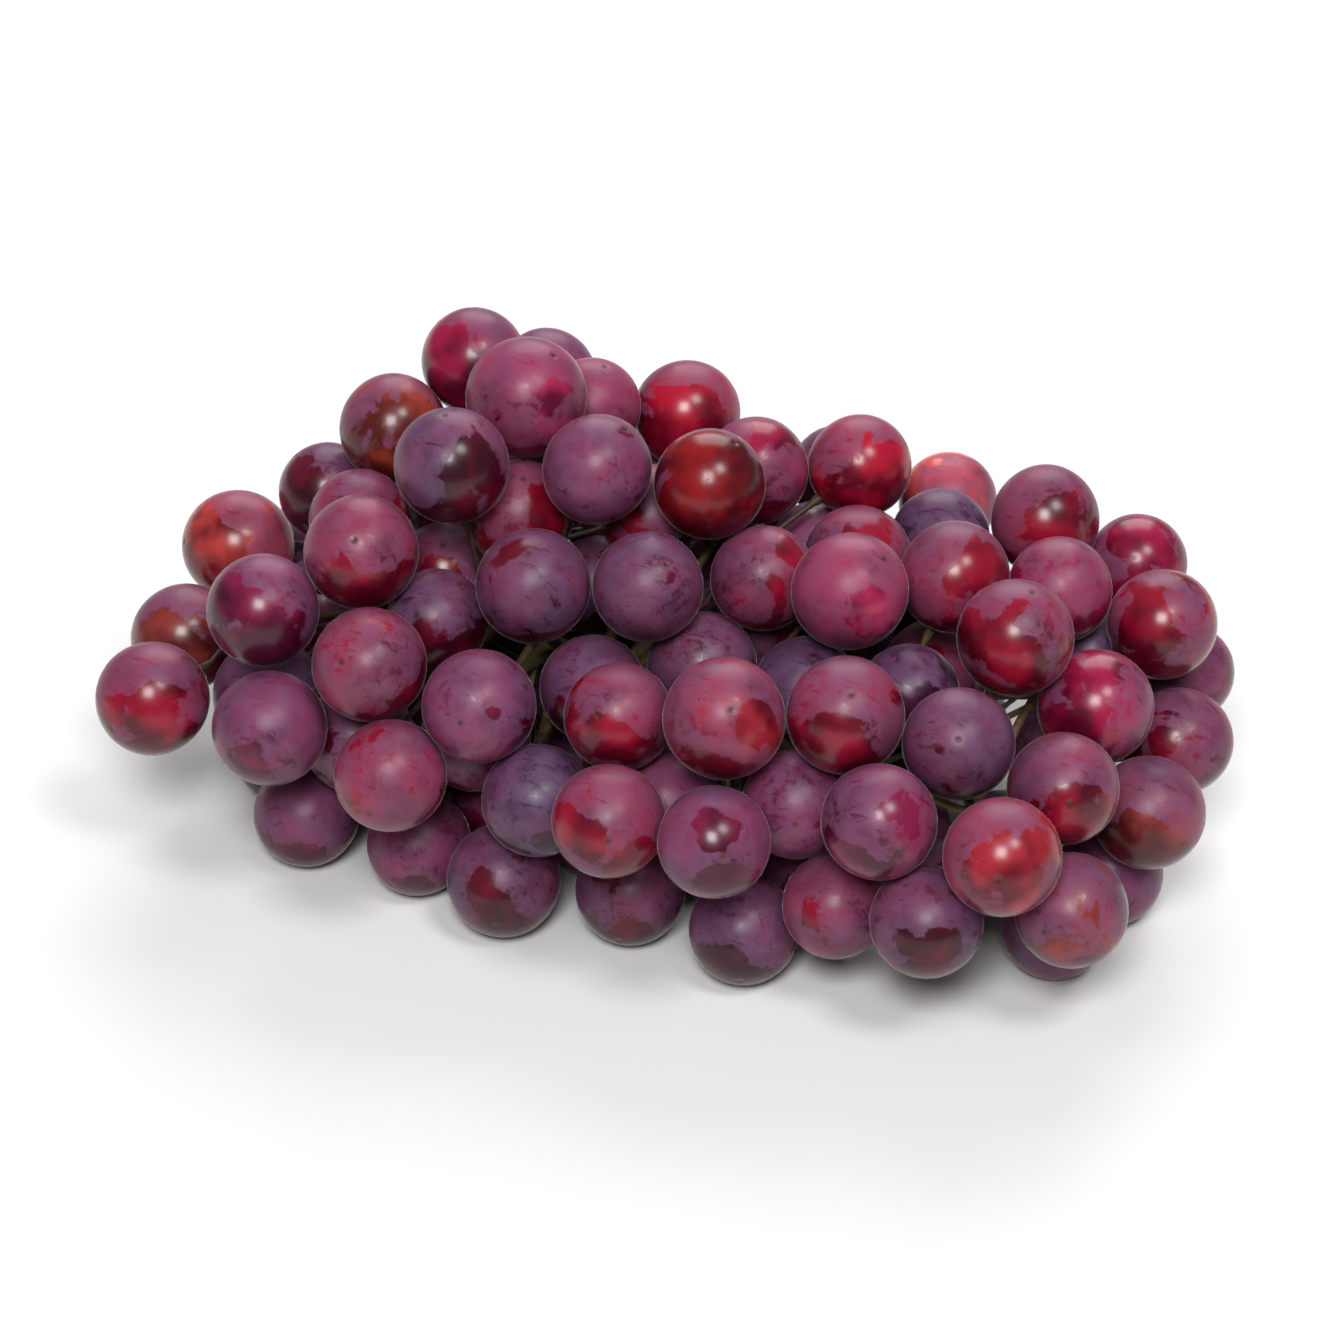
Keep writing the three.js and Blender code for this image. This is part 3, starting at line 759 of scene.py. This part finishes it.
def bloom_and_shade_of(finish, where, upward, scratched):
    """How thick the bloom is, with painted shade in it, and how uneven. The level is a sum of noises,
    of how far the skin faces up, which paints shade as thinner bloom on the lower side, and of the
    bloom stored on the berry's vertices. Where it passes the edge, the film starts, and scratches and
    scuffs are taken out of it. It hides the skin more where the skin faces up: painted shade too."""
    patches = finish.noise(where, PATCHES, 3, 0.5, 0.7) - MIDDLE
    ragged = finish.noise(where, RAGGED, 4, 0.65) - MIDDLE
    grain = finish.noise(where, GRAIN, 3, 0.6) - MIDDLE
    level = patches * PATCH_SHARE + ragged * RAGGED_SHARE + grain * GRAIN_SHARE
    # Facing up adds bloom: painted shade, paler tops and darker lower sides.
    level = level + upward * UPWARD_SHADE_SHARE + finish.attribute("bloom") * PAINTED_SHARE - LEVEL_DROP
    uneven = finish.noise(where, FILM, 5, 0.65, 0.4).step(*FILM_EDGE)
    scuffs = finish.noise(where, SCUFFS, 5, 0.72).step(*SCUFF_EDGE)
    scuffs = scuffs * finish.noise(where, SCUFFED_AREAS, 2).step(*SCUFF_EDGE) * SCUFFED
    film_and_shade = level.step(*BLOOM_EDGE) * (THIN_FILM + uneven * FILM_SPREAD)
    film_and_shade = film_and_shade * (1 - scratched) * (1 - scuffs) + HAZE
    # The film hides the skin more where it faces up: painted shade.
    return film_and_shade.at_most(1.0) * (upward * UPWARD_SHADE_HIDING + HIDES), uneven


def grape_skin(name, glow):
    """The material of one kind of berry; glow is the share of light that the flesh scatters."""
    finish = Finish(
        name,
        Subsurface_Weight=glow,
        Subsurface_Scale=0.005,
        Subsurface_Radius=(1.0, 0.22, 0.16),
        IOR=1.38,
        Coat_Roughness=0.20,
        Sheen_Weight=0.30,
        Sheen_Roughness=0.16,
        Sheen_Tint=(1.0, 0.82, 0.88, 1),
    )
    where = finish.place()
    tint = finish.attribute("tint", "Color")
    normal = finish.node("ShaderNodeNewGeometry", output="Normal")
    upward = finish.node("ShaderNodeSeparateXYZ", None, {"Vector": normal}, "Z")
    along = finish.place(SCRATCH_STRETCH, SCRATCH_TURN)
    scratched = finish.noise(along, SCRATCHES, 3, 0.6, 0.6).step(*SCRATCH_EDGE) * SCRATCHED
    # The film of wax, with painted shade in it: thicker on top, thinner on the lower side.
    film_and_shade, uneven = bloom_and_shade_of(finish, where, upward, scratched)

    deeper = finish.node("ShaderNodeHueSaturation", None, {**DEEPER, "Color": tint})
    # Ripeness at random, and painted shade: facing up keeps the tint, facing down darkens the skin.
    ripeness_and_shade = finish.noise(where, DEPTHS, 2, 0.5) + upward * DARKER_BELOW_SHADE
    skin = finish.blend(ripeness_and_shade.step(*RIPENESS_AND_SHADE_EDGE), deeper, tint)

    redness = finish.node("ShaderNodeSeparateColor", None, {"Color": tint}, "Red")
    warmth = redness * WARM_PER_RED + finish.noise(where, TINGE, 1) - MIDDLE
    wax = finish.blend(warmth.at_least(0.0).at_most(1.0), BLOOM_COOL, BLOOM_WARM)
    skin = finish.blend(film_and_shade, skin, wax)

    specks = 1 - finish.spots(where, SPECKS).step(*SPECK_EDGE)
    specks = specks * finish.noise(where, SPECKLED_AREAS, 2).step(*SPECKLED_EDGE)
    skin = finish.blend(specks * SPECKED, skin, SPECK_BROWN)
    skin = finish.blend(finish.attribute("scar").at_most(1.0), skin, SCAR_BROWN)

    pores = finish.noise(where, PORES, 2, 0.6)
    relief = film_and_shade * 0.6 + pores * 0.10 + scratched * 0.2 - specks * 0.3
    finish.set(
        Base_Color=skin,
        Roughness=SKIN_ROUGHNESS + film_and_shade * FILM_ROUGHNESS + uneven * UNEVEN_ROUGHNESS,
        Coat_Weight=(SKIN_COAT - film_and_shade * FILM_DULLS).at_least(0.0),
        Normal=finish.bump(relief, RELIEF, RELIEF_STRENGTH),
    )
    return finish.material


def dress(pieces, material):
    """Gives every piece the material."""
    for piece in pieces:
        piece.data.materials.append(material)
    print(material.name, "on", len(pieces), "pieces,", len(material.node_tree.nodes), "nodes")


dress(outer_pieces, grape_skin("berry_skin", GLOW_OUTER))
dress(inner_pieces, grape_skin("inner_berry_skin", GLOW_INNER))

# %% [markdown]
# ## The wood of the stem
#
# A fresh stem is olive green, and it dries to brown in patches. Streaks run with the fibres, small
# pale pores, the lenticels, dot the bark, and the cut shows pale wood. Noise gives the drying and the
# streaks, scattered spots give the pores, and a ramp turns the drying into colour.
# Where berries crowd round the twig, its colour is painted nearly black: that is painted shade.

# %% Wood material
WOOD_STOPS = (
    (0.30, (0.150, 0.160, 0.050, 1)),
    (0.48, (0.235, 0.185, 0.070, 1)),
    (0.62, (0.190, 0.100, 0.042, 1)),
    (0.78, (0.090, 0.040, 0.020, 1)),
)
LENTICEL = (0.34, 0.27, 0.15, 1)
# Painted shade: the near-black that the wood takes where berries crowd round it.
SHADED_WOOD = (0.026, 0.013, 0.009, 1)
CUT_WOOD = (0.42, 0.33, 0.19, 1)
DRYING = 55  # scales, in waves per metre
LENTICELS = 520
STREAKS = 900
ALONG_FIBRES = (1, 1, 0.35)  # streaks are longer upward than across
BARK_RELIEF = 0.12 * MM
BARK_STRENGTH = 0.8


def stem_wood():
    """The material of the twig."""
    finish = Finish("stem_wood", Subsurface_Weight=0.06, Subsurface_Scale=0.0015)
    where = finish.place()
    streaks = finish.noise(finish.place(ALONG_FIBRES), STREAKS, 3, 0.6, 1.0)
    drying = finish.noise(where, DRYING, 4, 0.6, 0.4) + (streaks - MIDDLE) * 0.25
    pores = 1 - finish.spots(where, LENTICELS).step(0.12, 0.20)
    bark = finish.node("ShaderNodeValToRGB", {"stops": WOOD_STOPS}, {"Fac": drying}, "Color")
    bark = finish.blend(pores * 0.55, bark, LENTICEL)
    # Painted shade: the wood goes nearly black where berries crowd round it.
    bark = finish.blend(finish.attribute("shade") * 0.90, bark, SHADED_WOOD)
    bark = finish.blend(finish.attribute("cut") * (0.6 + streaks * 0.4), bark, CUT_WOOD)
    finish.set(
        Base_Color=bark,
        Roughness=0.50 + streaks * 0.25,
        Normal=finish.bump(streaks * 0.7 + pores * 0.5, BARK_RELIEF, BARK_STRENGTH),
    )
    return finish.material


stem_mesh.materials.clear()
dress([stem], stem_wood())

# %% [markdown]
# ## Floor and light
#
# A pale plain floor with broad soft lights shows fruit as a shop shows it. The main light stands
# near the camera, a little to its left and above, so each berry has one soft highlight near its
# middle. A second one, higher and to the right, adds the small highlight at the upper right. A broad
# one from behind lights the rims, and a faint surrounding keeps the shadows open.

# %% Studio
FLOOR_SIZE = 8.0
FLOOR_ROUGHNESS = 0.62
FLOOR_TONES = ((0.86, 0.86, 0.87, 1), (0.90, 0.90, 0.90, 1))
FLOOR_CLOUDS = 3  # waves per metre
LAMP_DISTANCE = 2.0
LAMPS = (  # name, azimuth, elevation, side of the square, watts
    ("key_light", 14, 48, 0.62, 28),
    ("side_light", 62, 60, 0.52, 13),
    ("back_light", 195, 38, 1.40, 22),
)
SURROUNDING_COLOUR = (1.0, 0.99, 0.985, 1)
SURROUNDING_STRENGTH = 0.17


def floor():
    """A large plain sheet at z = 0, with faint clouds of tone."""
    half = FLOOR_SIZE / 2
    corners = np.array([[-half, -half, 0], [half, -half, 0], [half, half, 0], [-half, half, 0]])
    sheet = new_object("floor", corners, [[0, 1, 2, 3]])
    finish = Finish("pale_floor", Roughness=FLOOR_ROUGHNESS)
    clouds = finish.noise(finish.place(), FLOOR_CLOUDS, 2)
    finish.set(Base_Color=finish.blend(clouds, *FLOOR_TONES))
    sheet.data.materials.append(finish.material)


def softbox(name, azimuth, elevation, size, power):
    """A square area light that looks at the bunch; its angles are measured as the camera's are."""
    light = bpy.data.lights.new(name, "AREA")
    light.size = size
    light.energy = power
    lamp = bpy.data.objects.new(name, light)
    place_facing(lamp, middle, direction_to(azimuth, elevation), LAMP_DISTANCE)


floor()
for lamp in LAMPS:
    softbox(*lamp)
world = bpy.data.worlds.new("surrounding")
world.use_nodes = True
background = world.node_tree.nodes["Background"]
background.inputs["Color"].default_value = SURROUNDING_COLOUR
background.inputs["Strength"].default_value = SURROUNDING_STRENGTH
bpy.context.scene.world = world
bpy.context.scene.view_settings.view_transform = "Standard"
print("lamps:", [name for name, *_ in LAMPS])
